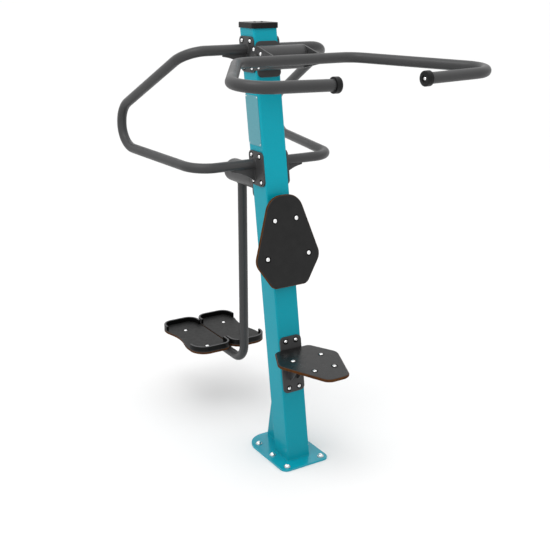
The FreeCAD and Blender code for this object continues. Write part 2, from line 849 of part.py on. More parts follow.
def build_swing_axle():
    """Fixed half of the swing: plate, stub, axle with its stop key, washer and nut."""
    save("swing_plate", on_face(bolted_plate("rear"), "rear", swing_plate_s))
    wall = behind_face("rear", plate_t)
    save("swing_stub", ring_y(swing_r, swing_bore, 0, stub_end).cut(wall))
    washer_y = sleeve_end - swing_bearing_back + body_gap
    nut_y = washer_y + swing_washer_t
    shaft = rod_y(axle_r, 0, washer_y)
    neck = rod_y(neck_r, 0, sleeve_end - neck_back)
    key_y = sleeve_start + stop_ring_in + stop_ring_gap
    key_len = stop_ring_w - 2 * stop_ring_gap
    key_low = axle_r - stop_key_seat
    corner = V(-stop_key_w / 2, key_y, swing_z + key_low)
    key = Part.makeBox(stop_key_w, key_len, stop_key_r - key_low, corner)
    save("swing_axle", shaft.fuse(neck).removeSplitter().cut(wall).cut(key))
    save("swing_stop_key", key)
    save("swing_washer", ring_y(swing_washer_r, neck_r, washer_y, nut_y))
    big_nut = hexagon(swing_nut_across, swing_nut_h, 0)
    big_nut.rotate(V(0, 0, 0), V(1, 0, 0), -90)
    save("swing_nut", placed(big_nut, 0, nut_y, swing_z).cut(rod_y(neck_r, 0, sleeve_end)))


def build_swing_sleeve():
    """Turning half of the swing's hub: sleeve, bearings, slotted stop ring and domed end."""
    save("swing_sleeve", ring_y(swing_r, swing_bore, sleeve_start, sleeve_end))
    first = sleeve_start + swing_bearing_in
    last = sleeve_end - swing_bearing_back - bearing_w
    save("swing_bearings", *[ring_y(swing_bore, axle_r + run_gap, y, y + bearing_w) for y in (first, last)])

    ring_from = sleeve_start + stop_ring_in
    inner = axle_r + stop_ring_gap
    stop = ring_y(swing_bore, inner, ring_from, ring_from + stop_ring_w)
    spread = swing_turn + math.degrees(math.asin((stop_key_w / 2 + body_gap) / inner))
    tip = 2 * swing_r
    across = tip * math.tan(math.radians(spread))
    centre = V(0, 0, swing_z)
    wedge = Part.makePolygon([centre, V(-across, 0, swing_z + tip), V(across, 0, swing_z + tip), centre])
    save("swing_stop_ring", stop.cut(Part.Face(wedge).extrude(V(0, far, 0))))

    dome = Part.makeCylinder(swing_r, dome_len)
    dome = dome.makeFillet(dome_edge_r, edges_at(dome, dome_len))
    dome = dome.fuse(ring(swing_bore, swing_bore - dome_plug_wall, -dome_plug, 0)).removeSplitter()
    dome.rotate(V(0, 0, 0), V(1, 0, 0), -90)
    save("swing_end_cap", placed(dome, 0, sleeve_end, swing_z))


def build_swing_arm():
    """Bent arm under the sleeve with the bars that carry the foot boards."""
    bar_z = foot_top - board_t - foot_bar_t
    run_z = bar_z - tube_r
    arm_end = arm_y + arm_run
    points = [V(0, arm_y, swing_z), V(0, arm_y, run_z), V(0, arm_end, run_z)]
    arm = bent_rod(points, arm_bend, tube_r, tube_r - tube_wall)
    save("swing_arm", arm.cut(rod_y(swing_r, 0, far)))
    plug = Part.makeCylinder(tube_r, plug_t)
    plug = plug.fuse(Part.makeCylinder(tube_r - tube_wall, plug_len, V(0, 0, -plug_len))).removeSplitter()
    plug.rotate(V(0, 0, 0), V(1, 0, 0), -90)
    save("swing_arm_plug", placed(plug, 0, arm_end, run_z))
    bars = []
    for row in foot_rows:
        bar = slab(rectangle(foot_bar_len, foot_bar_w, foot_bar_r), foot_bar_t)
        bar = drill(bar, [(-foot_bolt_x, 0), (foot_bolt_x, 0)], board_hole_r, foot_bar_t)
        bars.append(placed(bar, 0, arm_y + row, bar_z))
    save("foot_bars", *bars)


def build_foot_boards():
    """Two waisted boards with raised rims at their ends."""
    spots = mirrored([(foot_bolt_x, arm_y + row) for row in foot_rows])
    save("foot_bolts", *[placed(board_bolt(board_t + foot_bar_t), x, y, foot_top) for x, y in spots])
    save("foot_nuts", *[placed(nut(), x, y, foot_top - board_t - foot_bar_t) for x, y in spots])
    front_zone = Part.makeBox(2 * far, far, rim_h, V(-far, rim_front_to - far, 0))
    rear_zone = Part.makeBox(2 * far, far, rim_h, V(-far, rim_rear_from, 0))
    for name, sign in SIDES:
        corners = [(x * sign, y, r) for x, y, r in foot_outline]
        flat = board(corners, [(foot_bolt_x * sign, row) for row in foot_rows], foot_bevel)
        save(f"foot_board_{name}", placed(flat, 0, arm_y, foot_top - board_t))
        face = Part.Face(outline(corners))
        inside = face.makeOffset2D(-rim_t)
        wall = face.extrude(V(0, 0, rim_h)).cut(inside.extrude(V(0, 0, rim_h)))
        rims = [wall.common(zone).Solids[0] for zone in (front_zone, rear_zone)]
        rims = [rim.makeFillet(rim_edge_r, edges_at(rim, rim_h)) for rim in rims]
        save(f"foot_rims_{name}", *[placed(rim, 0, arm_y, foot_top) for rim in rims])


build_base()
build_post()
build_cap()
build_notice()
build_loops()
build_pad()
build_seat()
build_board_fasteners()
build_press_housing()
build_press_arm()
build_swing_axle()
build_swing_sleeve()
build_swing_arm()
build_foot_boards()
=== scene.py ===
import json
import math

import bmesh
import bpy
from mathutils import Matrix, Vector


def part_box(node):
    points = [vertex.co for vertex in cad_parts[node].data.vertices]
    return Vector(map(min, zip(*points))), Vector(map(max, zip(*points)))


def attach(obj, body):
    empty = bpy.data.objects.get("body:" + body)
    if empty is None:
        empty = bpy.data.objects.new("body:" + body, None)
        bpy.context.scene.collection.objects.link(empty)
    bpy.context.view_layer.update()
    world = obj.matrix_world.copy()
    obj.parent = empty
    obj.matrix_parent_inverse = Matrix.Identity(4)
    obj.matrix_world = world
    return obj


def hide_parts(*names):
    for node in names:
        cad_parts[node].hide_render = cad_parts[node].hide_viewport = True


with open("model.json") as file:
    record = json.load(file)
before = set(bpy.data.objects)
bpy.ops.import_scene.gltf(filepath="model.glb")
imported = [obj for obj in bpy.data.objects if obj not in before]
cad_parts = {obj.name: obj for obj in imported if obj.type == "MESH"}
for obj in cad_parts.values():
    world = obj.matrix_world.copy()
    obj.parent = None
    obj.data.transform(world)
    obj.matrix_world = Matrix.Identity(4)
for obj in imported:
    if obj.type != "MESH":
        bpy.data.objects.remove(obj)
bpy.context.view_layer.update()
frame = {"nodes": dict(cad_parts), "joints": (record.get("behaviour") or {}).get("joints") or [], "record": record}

nodes = frame["nodes"]
scene = bpy.context.scene
MM = 0.001
UP = (0, 0, 1)
ACROSS = (1, 0, 0)


def low_of(node):
    """Lowest corner of a node's box, in millimetres."""
    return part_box(node)[0] / MM


def high_of(node):
    """Highest corner of a node's box, in millimetres."""
    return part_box(node)[1] / MM


# Sizes in millimetres, from the frame where a node's box shows them, or else as in the solids

# Post and base plate
lean = math.radians(8.65)
half = high_of("post_tube").x
post_r = 7.0
post_wall = 4.0
post_len = 1970.0
cap_t = 24.0
base_t = high_of("base_plate").z
anchor_x = 93.0
anchor_rows = (-103.0, 25.5, 154.0)
gusset_half = high_of("base_gusset").x
gusset_rear = high_of("base_gusset").y
gusset_top = high_of("base_gusset").z
notice_s = 1573.0
notice_t = -half - low_of("notice_plate").x
rivet_across = (-49.0, 41.0)
rivet_along = (-103.0, 103.0)

# Handle loops
plate_t = high_of("handle_plates_right").x - half
plate_bolt_x = 33.5
plate_bolt_s = 57.5
loop_rows = ((1859.0, 5.0), (1361.0, 18.0))
loop_rise = 22.0
tube_r = high_of("swing_arm").x
web_t = 6.0
web_len = 118.0
web_drop = 54.0

# Pad and seat
board_t = high_of("seat_board").z - low_of("seat_board").z
pad_s = 1030.0
pad_gap = 33.0
pad_bar_t = 6.0
pad_spots = ((56.0, 1129.5), (108.0, 963.7))
spine_t = 5.0
spine_rows = (1001.0, 1089.0)
seat_top = high_of("seat_board").z
seat_rear = 7.96
seat_spots = ((75.0, 128.0), (52.0, 266.0))
seat_plate_s = 453.0
seat_plate_bolt_x = 27.0
seat_plate_bolt_s = 111.5
shelf_t = high_of("seat_shelf").z - low_of("seat_shelf").z
shelf_half = 44.0
rib_t = 8.0
rib_drop = 118.0
rib_reach = 112.0

# Press arm
press_s = 1830.0
press_reach = 161.0
plate_in = high_of("press_flanges").x
plate_out = high_of("press_side_plates").x
flange_bolts = 4
flange_circle_r = 41.0
flange_turn = 30.0
cheek_t = 8.0
cheek_half = 37.0
bar_ahead = 127.0
bar_drop = 2.0
grip_corner_at = (642.0, -587.0, -23.4)
grip_run = (-446.0, 6.0, -12.0)
grip_cap_r = 30.0
grip_cap_len = 25.0
grip_cap_floor = 10.0
grip_cap_round = 4.0

# Swing and foot boards
swing_joint = [joint for joint in frame["joints"] if joint["name"] == "hip_swing"][0]
arm_y = swing_joint["pos_m"][1] / MM
swing_z = swing_joint["pos_m"][2] / MM
swing_r = 54.0
foot_top = high_of("foot_board_left").z
foot_bar_t = high_of("foot_bars").z - low_of("foot_bars").z
foot_bolt_x = 116.0
foot_rows = (181.0, 432.0)

# Fasteners, with heads that follow the photograph where the solids differ from it
bolt_r = 5.0
board_head_r = 10.0
board_head_h = 4.6
board_socket = 5.5
wall_head_r = 8.75
wall_head_h = 5.5
wall_socket = 5.0
nut_across = 17.0
nut_h = 9.0
nut_bore = bolt_r * 0.98
washer_t = 3.0
small_bolt_r = 4.0
small_bolt_len = 16.0
small_plain_len = 10.0
small_head_r = 7.5
small_head_h = 5.0
small_socket = 5.0

# Weld beads
bead_r = 3.2
cheek_bead_r = 2.8
rib_bead_r = 2.6
seam_bead_r = 2.2


def post_point(x, u, s):
    """Point at x across, u toward the rear and s along the leaning post."""
    y = u * math.cos(lean) + s * math.sin(lean)
    z = base_t + s * math.cos(lean) - u * math.sin(lean)
    return Vector((x, y, z))


def face_point(face, x, s, off):
    """Point and outward direction at x across and s along a face of the post, off outside it."""
    out = {"front": (0, -1), "rear": (0, 1), "left": (-1, 0), "right": (1, 0)}[face]
    across = {"front": (x, 0), "rear": (-x, 0), "left": (0, -x), "right": (0, x)}[face]
    reach = half + off
    place = post_point(across[0] + out[0] * reach, across[1] + out[1] * reach, s)
    way = post_point(out[0], out[1], 0) - post_point(0, 0, 0)
    return place, way


def slanted(face, x, s):
    """Station along the post of a point at x across whose row lies level on that face."""
    slant = {"left": -1, "right": 1}.get(face, 0)
    return s + slant * x * math.tan(lean)


def rear_plane_y(z, off):
    """The y at height z of the plane that lies off behind the post's rear face."""
    return (half + off) / math.cos(lean) + (z - base_t) * math.tan(lean)


def front_plane_y(z, off):
    """The y at height z of the plane that lies off ahead of the post's front face."""
    return -(half + off) / math.cos(lean) + (z - base_t) * math.tan(lean)


def wall_faces(node, thick):
    """The x of all four faces of a node's two upright walls, from left to right."""
    outer = high_of(node).x
    return -outer, thick - outer, outer - thick, outer


def middle_of(node):
    """Middle of a node's box, in metres."""
    low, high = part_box(node)
    return (low + high) / 2


hub = post_point(0, -press_reach, press_s)
bar = hub + Vector((0, -bar_ahead, -bar_drop))
grip_corner = bar + Vector(grip_corner_at)
grip_end = grip_corner + Vector(grip_run)


# Node helpers
def feed(tree, socket, value):
    """Gives a socket a link, a colour, a vector or a number."""
    if isinstance(value, bpy.types.NodeSocket):
        tree.links.new(value, socket)
    elif socket.type == "RGBA":
        socket.default_value = (*value, 1.0)
    else:
        socket.default_value = value


def new_material(name):
    """Material with its tree, its shader and its object coordinates."""
    mat = bpy.data.materials.new(name)
    mat.use_nodes = True
    tree = mat.node_tree
    coords = tree.nodes.new("ShaderNodeTexCoord")
    return mat, tree, tree.nodes["Principled BSDF"], coords.outputs["Object"]


def dress(tree, shader, colour, dull):
    """Links a colour and a roughness to the shader."""
    tree.links.new(colour, shader.inputs["Base Color"])
    tree.links.new(dull, shader.inputs["Roughness"])


def noise(tree, vector, scale, detail=2.0, roughness=0.5):
    """Noise texture's value."""
    node = tree.nodes.new("ShaderNodeTexNoise")
    tree.links.new(vector, node.inputs["Vector"])
    node.inputs["Scale"].default_value = scale
    node.inputs["Detail"].default_value = detail
    node.inputs["Roughness"].default_value = roughness
    return node.outputs["Fac"]


def stretched(tree, vector, scale):
    """Coordinates stretched by a scale on each axis."""
    node = tree.nodes.new("ShaderNodeMapping")
    tree.links.new(vector, node.inputs["Vector"])
    node.inputs["Scale"].default_value = scale
    return node.outputs["Vector"]


def ramp(tree, value, *stops):
    """Colour ramp through (place, grey or colour) stops."""
    node = tree.nodes.new("ShaderNodeValToRGB")
    tree.links.new(value, node.inputs["Fac"])
    band = node.color_ramp
    while len(band.elements) < len(stops):
        band.elements.new(0.5)
    for element, (place, colour) in zip(band.elements, stops):
        element.position = place
        tint = (colour, colour, colour) if isinstance(colour, float) else colour
        element.color = (*tint, 1.0)
    return node.outputs["Color"]


def math_node(tree, operation, a, b):
    """Math node on two values, each a socket or a number."""
    node = tree.nodes.new("ShaderNodeMath")
    node.operation = operation
    for socket, value in zip(node.inputs, (a, b)):
        feed(tree, socket, value)
    return node.outputs["Value"]


def vector_node(tree, operation, a, b):
    """Vector math node on two vectors, each a socket or a constant."""
    node = tree.nodes.new("ShaderNodeVectorMath")
    node.operation = operation
    for socket, value in zip(node.inputs, (a, b)):
        feed(tree, socket, value)
    return node.outputs["Value" if operation == "DOT_PRODUCT" else "Vector"]


def mix(tree, factor, a, b, blend="MIX"):
    """Mixes two colours, each a socket or a colour, by a factor."""
    node = tree.nodes.new("ShaderNodeMix")
    node.data_type = "RGBA"
    node.blend_type = blend
    colours = [s for s in node.inputs if s.type == "RGBA"]
    for socket, value in zip((node.inputs["Factor"], *colours), (factor, a, b)):
        feed(tree, socket, value)
    return [s for s in node.outputs if s.type == "RGBA"][0]


def product(tree, a, b):
    """Multiplies two colours."""
    return mix(tree, 1.0, a, b, "MULTIPLY")


def face_normal(tree):
    """Direction of the surface in the object's own axes."""
    return tree.nodes.new("ShaderNodeTexCoord").outputs["Normal"]


def vertical(tree, vector):
    """Upright part of a vector."""
    node = tree.nodes.new("ShaderNodeSeparateXYZ")
    tree.links.new(vector, node.inputs["Vector"])
    return node.outputs["Z"]


def upward(tree):
    """How far a face looks up, from 0 straight down to 1 straight up."""
    return math_node(tree, "MULTIPLY", math_node(tree, "ADD", vertical(tree, face_normal(tree)), 1.0), 0.5)


def raised(tree, at):
    """How high a point lies, from 0 at the ground to 1 about the top of the post."""
    return math_node(tree, "MULTIPLY", vertical(tree, at), 1.0 / (post_len * MM))


def bump(tree, shader, height, strength, distance, edge):
    """Bump on the shader's normal, over edges rounded by a small radius."""
    node = tree.nodes.new("ShaderNodeBump")
    node.inputs["Strength"].default_value = strength
    node.inputs["Distance"].default_value = distance
    tree.links.new(height, node.inputs["Height"])
    soft = tree.nodes.new("ShaderNodeBevel")
    soft.samples = 4
    soft.inputs["Radius"].default_value = edge
    tree.links.new(soft.outputs["Normal"], node.inputs["Normal"])
    tree.links.new(node.outputs["Normal"], shader.inputs["Normal"])


# Materials
def coat(name, dark, light, rough, shine, grain, depth, underside_shade=1.0, low=1.0):
    """Powder coat with slow tone changes, fine speckle and a grained skin.

    The last two arguments are painted shade: the shares of the colour that are left on faces that look down, and
    at the ground.
    """
    mat, tree, shader, at = new_material(name)
    shader.inputs["Specular IOR Level"].default_value = shine
    tone = ramp(tree, noise(tree, at, scale=2.5, detail=3.0), (0.3, dark), (0.7, light))
    speck = ramp(tree, noise(tree, at, scale=900.0, detail=1.0), (0.35, 0.90), (0.65, 1.0))
    colour = product(tree, tone, speck)
    # Painted shade: faces that look down keep only a share of the colour.
    if underside_shade < 1.0:
        colour = product(tree, colour, ramp(tree, upward(tree), (0.0, underside_shade), (1.0, 1.0)))
    # Painted shade: the coat darkens toward the ground.
    if low < 1.0:
        colour = product(tree, colour, ramp(tree, raised(tree, at), (0.0, low), (1.0, 1.0)))
    rub = noise(tree, at, scale=14.0, detail=4.0)
    dress(tree, shader, colour, ramp(tree, rub, (0.3, rough - 0.05), (0.7, rough + 0.06)))
    bump(tree, shader, noise(tree, at, scale=grain), strength=depth, distance=0.0006, edge=0.0010)
    return mat


def steel(name, light, rough, scale):
    """Bare steel with fine turning marks."""
    mat, tree, shader, at = new_material(name)
    shader.inputs["Metallic"].default_value = 1.0
    marks = noise(tree, stretched(tree, at, scale), scale=1.0, detail=3.0)
    colour = ramp(tree, marks, (0.3, light - 0.12), (0.7, light))
    dress(tree, shader, colour, ramp(tree, marks, (0.2, rough - 0.06), (0.8, rough + 0.08)))
    bump(tree, shader, marks, strength=0.05, distance=0.0002, edge=0.0006)
    return mat


def plastic(name, dark, light, rough, shine, grain, depth):
    """Moulded plastic with a leathery grain and faint rub marks."""
    mat, tree, shader, at = new_material(name)
    shader.inputs["Specular IOR Level"].default_value = shine
    colour = ramp(tree, noise(tree, at, scale=9.0, detail=4.0), (0.3, dark), (0.75, light))
    rub = noise(tree, at, scale=30.0, detail=5.0, roughness=0.65)
    dress(tree, shader, colour, ramp(tree, rub, (0.3, rough - 0.08), (0.7, rough + 0.08)))
    skin = noise(tree, at, scale=grain, detail=3.0, roughness=0.6)
    bump(tree, shader, skin, strength=depth, distance=0.0005, edge=0.0015)
    return mat


def board_material(name, centre, way, skin, rough):
    """Sandwich board: black grained skins with a painted highlight on the bevels, on a brown core that shows round
    the edge.
    """
    mat, tree, shader, at = new_material(name)
    shader.inputs["Specular IOR Level"].default_value = 0.22
    depth = vector_node(tree, "DOT_PRODUCT", vector_node(tree, "SUBTRACT", at, centre), way)
    share = math_node(tree, "MULTIPLY", depth, 1.0 / (board_t * MM))
    wander = math_node(tree, "MULTIPLY", noise(tree, at, scale=120.0), 0.05)
    level = math_node(tree, "ADD", math_node(tree, "ADD", share, 0.475), wander)
    top = 1.0 - skin / board_t
    outside = ramp(tree, level, (0.02, 1.0), (0.05, 0.0), (top - 0.02, 0.0), (top, 1.0))
    layers = math_node(tree, "SINE", math_node(tree, "MULTIPLY", depth, 1500.0), 0.0)
    blotch = noise(tree, at, scale=60.0, detail=3.0)
    streak = math_node(tree, "ADD", blotch, math_node(tree, "MULTIPLY", layers, 0.16))
    core = ramp(tree, streak, (0.25, (0.036, 0.0095, 0.0001)), (0.75, (0.085, 0.0270, 0.0006)))
    black = ramp(tree, noise(tree, at, scale=25.0, detail=5.0, roughness=0.6), (0.3, 0.0075), (0.75, 0.0115))
    height = math_node(tree, "ADD", share, 0.5)
    # Painted highlight: the bevels below the flat faces are lighter than the black skin.
    bevel = ramp(tree, height, (0.03, 0.0), (0.06, 1.0), (0.960, 1.0), (0.990, 0.0))
    painted_highlight_skin = mix(tree, bevel, black, (0.030, 0.030, 0.030))
    rub = noise(tree, at, scale=45.0, detail=5.0, roughness=0.65)
    skin_dull = ramp(tree, rub, (0.3, rough - 0.05), (0.7, rough + 0.05))
    dress(tree, shader, mix(tree, outside, core, painted_highlight_skin), mix(tree, outside, (0.92, 0.92, 0.92), skin_dull))
    grain = noise(tree, at, scale=1400.0, detail=3.0, roughness=0.6)
    bump(tree, shader, grain, strength=0.06, distance=0.0004, edge=0.0008)
    return mat


def rim_material(name, centre):
    """Moulded rim with a painted highlight on its upward faces, and painted shade, near black, on the walls that
    face the middle of its board.
    """
    mat, tree, shader, at = new_material(name)
    shader.inputs["Specular IOR Level"].default_value = 0.09
    level = stretched(tree, at, (1.0, 1.0, 0.0))
    inward = vector_node(tree, "SUBTRACT", Vector((centre.x, centre.y, 0.0)), level)
    facing = vector_node(tree, "DOT_PRODUCT", inward, face_normal(tree))
    # Painted shade: the walls that face the middle of the board go near black.
    inner = ramp(tree, facing, (0.03, 0.0), (0.07, 1.0))
    # Painted highlight: faces that look up are lighter and shinier.
    top = ramp(tree, upward(tree), (0.75, 0.0), (0.90, 1.0))
    outer = ramp(tree, noise(tree, at, scale=9.0, detail=4.0), (0.3, 0.0055), (0.75, 0.0090))
    walls = mix(tree, inner, outer, (0.0004, 0.0004, 0.0004))
    rub = noise(tree, at, scale=30.0, detail=5.0, roughness=0.65)
    shiny = ramp(tree, rub, (0.3, 0.30), (0.7, 0.40))
    dull = mix(tree, inner, shiny, (0.90, 0.90, 0.90))
    dress(tree, shader, mix(tree, top, walls, (0.085, 0.085, 0.087)), mix(tree, top, dull, shiny))
    grain = noise(tree, at, scale=1600.0, detail=3.0, roughness=0.6)
    bump(tree, shader, grain, strength=0.12, distance=0.0004, edge=0.0012)
    return mat


def notice_material():
    """Brushed plate with a pale blue tint."""
    mat, tree, shader, at = new_material("notice_metal")
    shader.inputs["Metallic"].default_value = 0.4
    marks = noise(tree, stretched(tree, at, (30.0, 30.0, 1400.0)), scale=1.0, detail=3.0)
    tint = ramp(tree, marks, (0.3, (0.078, 0.295, 0.350)), (0.7, (0.112, 0.355, 0.410)))
    dress(tree, shader, tint, ramp(tree, marks, (0.2, 0.30), (0.8, 0.42)))
    bump(tree, shader, marks, strength=0.05, distance=0.0002, edge=0.0006)
    return mat


# Teal coat with painted shade that darkens it toward the ground.
teal = coat("teal_coat", dark=(0.0016, 0.322, 0.412), light=(0.0024, 0.345, 0.438),
            rough=0.20, shine=0.13, grain=1500.0, depth=0.04, low=0.78)
base_teal = coat("base_coat", dark=(0.0015, 0.285, 0.372), light=(0.0022, 0.305, 0.395),
                 rough=0.20, shine=0.42, grain=1500.0, depth=0.04)
# Grey coat with painted shade on faces that look down.
grey = coat("grey_coat", dark=(0.046, 0.046, 0.047), light=(0.055, 0.055, 0.056),
            rough=0.38, shine=0.30, grain=2200.0, depth=0.12, underside_shade=0.55)
bright = steel("bright_steel", light=0.93, rough=0.18, scale=(900.0, 900.0, 900.0))
ground = steel("ground_steel", light=0.62, rough=0.32, scale=(60.0, 900.0, 900.0))
zinc = steel("zinc_nut", light=0.70, rough=0.36, scale=(700.0, 700.0, 700.0))
blued = steel("blued_axle", light=0.15, rough=0.45, scale=(900.0, 60.0, 60.0))
black_cap = plastic("cap_plastic", dark=(0.0045, 0.0045, 0.0048), light=(0.0080, 0.0080, 0.0084),
                    rough=0.30, shine=0.17, grain=1800.0, depth=0.08)
# Near-black look of the cap screws, and of the rings of painted shade round bolt heads.
shade_ring_and_screw_black = plastic("near_black_shade_rings_and_screws", dark=(0.0010, 0.0010, 0.0010), light=(0.0022, 0.0022, 0.0022),
                     rough=0.55, shine=0.04, grain=1600.0, depth=0.10)
bush = plastic("bush_plastic", dark=(0.52, 0.50, 0.45), light=(0.60, 0.58, 0.53),
               rough=0.45, shine=0.35, grain=1500.0, depth=0.10)
rubber = plastic("buffer_rubber", dark=(0.014, 0.014, 0.014), light=(0.022, 0.022, 0.022),
                 rough=0.72, shine=0.25, grain=1100.0, depth=0.30)
foot_look = board_material("foot_plastic", middle_of("foot_board_left"), UP, skin=4.0, rough=0.50)
pad_middle, pad_way = face_point("front", 0, pad_s, pad_gap + board_t / 2)

# Looks by material slot, and of single nodes that differ from their slot
SLOT_LOOKS = {
    "teal_coat": teal,
    "grey_coat": grey,
    "bright_bolts": bright,
    "axle_steel": ground,
    "cap_plastic": black_cap,
    "bearing_plastic": bush,
    "notice_metal": notice_material(),
    "buffer_rubber": rubber,
}
NODE_LOOKS = {
    "base_plate": base_teal,
    "press_axle": blued,
    "pad_board": board_material("pad_plastic", pad_middle * MM, pad_way, skin=1.0, rough=0.36),
    "seat_board": board_material("seat_plastic", middle_of("seat_board"), UP, skin=1.5, rough=0.30),
    "foot_board_left": foot_look,
    "foot_board_right": foot_look,
    "foot_rims_left": rim_material("rim_plastic_left", middle_of("foot_board_left")),
    "foot_rims_right": rim_material("rim_plastic_right", middle_of("foot_board_right")),
}
slot_of = {s["node"]: s["material_slot"] for s in frame["record"]["subparts"]}
for name, node in nodes.items():
    node.data.materials.clear()
    node.data.materials.append(NODE_LOOKS.get(name) or SLOT_LOOKS[slot_of[name]])


# Mesh helpers
def turned(rings, segments, hollow=False):
    """Faces through rings about z, each (radius, z) with a radius or a function of the angle.

    A hollow one closes its last ring on its first, and any other has a face at each end.
    """
    mesh = bmesh.new()
    loops = []
    for radius, z in rings:
        loop = []
        for k in range(segments):
            angle = 2 * math.pi * k / segments
            r = radius(angle) if callable(radius) else radius
            loop.append(mesh.verts.new((r * math.cos(angle), r * math.sin(angle), z)))
        loops.append(loop)
    following = loops[1:] + loops[:1] if hollow else loops[1:]
    for low, high in zip(loops, following):
        for k in range(segments):
            n = (k + 1) % segments
            mesh.faces.new((low[k], low[n], high[n], high[k]))
    if not hollow:
        mesh.faces.new(list(reversed(loops[0])))
        mesh.faces.new(loops[-1])
    return mesh


def six_sided(across, cut=1.0):
    """Radius of a hexagon by the angle, with its corners cut to a share of their radius."""
    corner = across / math.sqrt(3) * cut

    def radius(angle):
        return min(across / 2 / math.cos((angle % (math.pi / 3)) - math.pi / 6), corner)
    return radius


def dome(r, h, inner, steps, base):
    """Rings of a low dome on a base height, from its edge up to an inner radius."""
    ball = (r * r + h * h) / (2 * h)
    rings = []
    for k in range(steps + 1):
        x = r + (inner - r) * k / steps
        rings.append((x, math.sqrt(ball * ball - x * x) - ball + h + base))
    return rings


def bolt_mesh(r, length, head_r, head_h, socket, plain_len):
    """Dome-headed bolt with a hexagon socket, its head on z = 0 and a shank below that ends in a thread."""
    pitch = 1.5
    root_r = r * 0.86
    edge = 0.5
    z = r * 0.2 - length
    rings = [(r * 0.8, -length), (r, z)]
    while z + pitch < -plain_len:
        rings += [(root_r, z + pitch / 2), (r, z + pitch)]
        z += pitch
    rings += [(r, 0.0), (head_r * 0.96, 0.0), (head_r, edge)]
    rings += dome(head_r, head_h - edge, inner=socket * 0.64, steps=6, base=edge)
    top = rings[-1][1]
    flank = six_sided(socket)
    rings += [(flank, top - 0.3), (flank, top - head_h * 0.6), (0.3, top - head_h * 0.75)]
    return turned(rings, segments=24)


def nut_mesh(across, h, bore):
    """Lock nut hanging below z = 0, with bevelled corners and a rounded collar."""
    flank = six_sided(across)
    bevel = six_sided(across, 0.95)
    face_r = across / math.sqrt(3) * 0.86
    rings = [(bore, -h), (across * 0.41, -h), (across * 0.45, -h * 0.92), (across * 0.46, -h * 0.74)]
    rings += [(bevel, -h * 0.72), (flank, -h * 0.66), (flank, -1.1), (bevel, -0.6)]
    rings += [(face_r, 0.0), (bore, -0.05)]
    return turned(rings, segments=24)


def collar(head_r):
    """Near-black ring round a bolt head, put there as painted shade."""
    inner = head_r + 0.1
    outer = head_r + 4.4
    high = 1.2
    rings = [(inner, 0.0), (outer, 0.0), (outer, 0.7), (outer - 0.6, high)]
    rings += [(inner + 0.4, high), (inner, 0.9)]
    return turned(rings, segments=28, hollow=True)


def bead(points, closed=False, r=bead_r):
    """Rippled weld bead along a line of points in millimetres, as a part for a group."""
    step = 1.7
    sides = 8
    line = list(points) + [points[0]] if closed else list(points)
    path = []
    for a, b in zip(line, line[1:]):
        count = max(1, round((b - a).length / step))
        path += [a.lerp(b, k / count) for k in range(count)]
    if not closed:
        path.append(line[-1])
    mesh = bmesh.new()
    loops = []
    last = len(path) - 1
    side = None
    for k, point in enumerate(path):
        before = path[k - 1] if k or closed else point
        after = path[(k + 1) % len(path)] if k < last or closed else point
        way = (after - before).normalized()
        if side is None:
            side = way.orthogonal().normalized()
        side = (side - way * side.dot(way)).normalized()
        other = way.cross(side)
        ripple = 0.88 + 0.12 * abs(math.sin(k * 1.15))
        if not closed:
            ripple *= min(1.0, 0.35 + 0.3 * min(k, last - k))
        loop = []
        for n in range(sides):
            angle = 2 * math.pi * n / sides
            spoke = side * math.cos(angle) + other * math.sin(angle)
            loop.append(mesh.verts.new(point + spoke * r * ripple))
        loops.append(loop)
    pairs = list(zip(loops, loops[1:]))
    if closed:
        pairs.append((loops[-1], loops[0]))
    for low, high in pairs:
        shift = min(range(sides), key=lambda m: (high[m].co - low[0].co).length) if closed else 0
        for n in range(sides):
            m = (n + 1) % sides
            mesh.faces.new((low[n], low[m], high[(m + shift) % sides], high[(n + shift) % sides]))
    if not closed:
        mesh.faces.new(list(reversed(loops[0])))
        mesh.faces.new(loops[-1])
    return mesh, Vector((0, 0, 0)), UP


def circle(centre, normal, r, start=0.0, sweep=360.0, first=None):
    """Points of a circle or an arc about a normal, from a first direction."""
    axis = Vector(normal).normalized()
    a = Vector(first).normalized() if first else axis.orthogonal().normalized()
    b = axis.cross(a)
    count = 48
    spots = []
    for k in range(count if sweep == 360.0 else count + 1):
        angle = math.radians(start + sweep * k / count)
        spots.append(centre + (a * math.cos(angle) + b * math.sin(angle)) * r)
    return spots


def piece(name, mesh, look, body, slot, *replaced):
    """Object from a mesh in metres that rides on a body, and stands for CAD nodes where any are named."""
    bmesh.ops.recalc_face_normals(mesh, faces=mesh.faces)
    data = bpy.data.meshes.new(name)
    mesh.to_mesh(data)
    mesh.free()
    obj = bpy.data.objects.new(name, data)
    scene.collection.objects.link(obj)
    data.materials.append(look)
    data.polygons.foreach_set("use_smooth", [True] * len(data.polygons))
    data.set_sharp_from_angle(angle=math.radians(32))
    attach(obj, body)
    if replaced:
        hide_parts(*replaced)
    return obj


def group(name, parts, look, body, slot, *replaced):
    """One object of many placed meshes, each (mesh, point in millimetres, direction of its z axis)."""
    whole = bmesh.new()
    for part, place, way in parts:
        turn = Vector(UP).rotation_difference(Vector(way)).to_matrix().to_4x4()
        copy = part.copy()
        bmesh.ops.transform(copy, matrix=Matrix.Translation(place) @ turn, verts=copy.verts)
        bmesh.ops.scale(copy, vec=(MM, MM, MM), verts=copy.verts)
        data = bpy.data.meshes.new("part")
        copy.to_mesh(data)
        whole.from_mesh(data)
        bpy.data.meshes.remove(data)
        copy.free()
    return piece(name, whole, look, body, slot, *replaced)


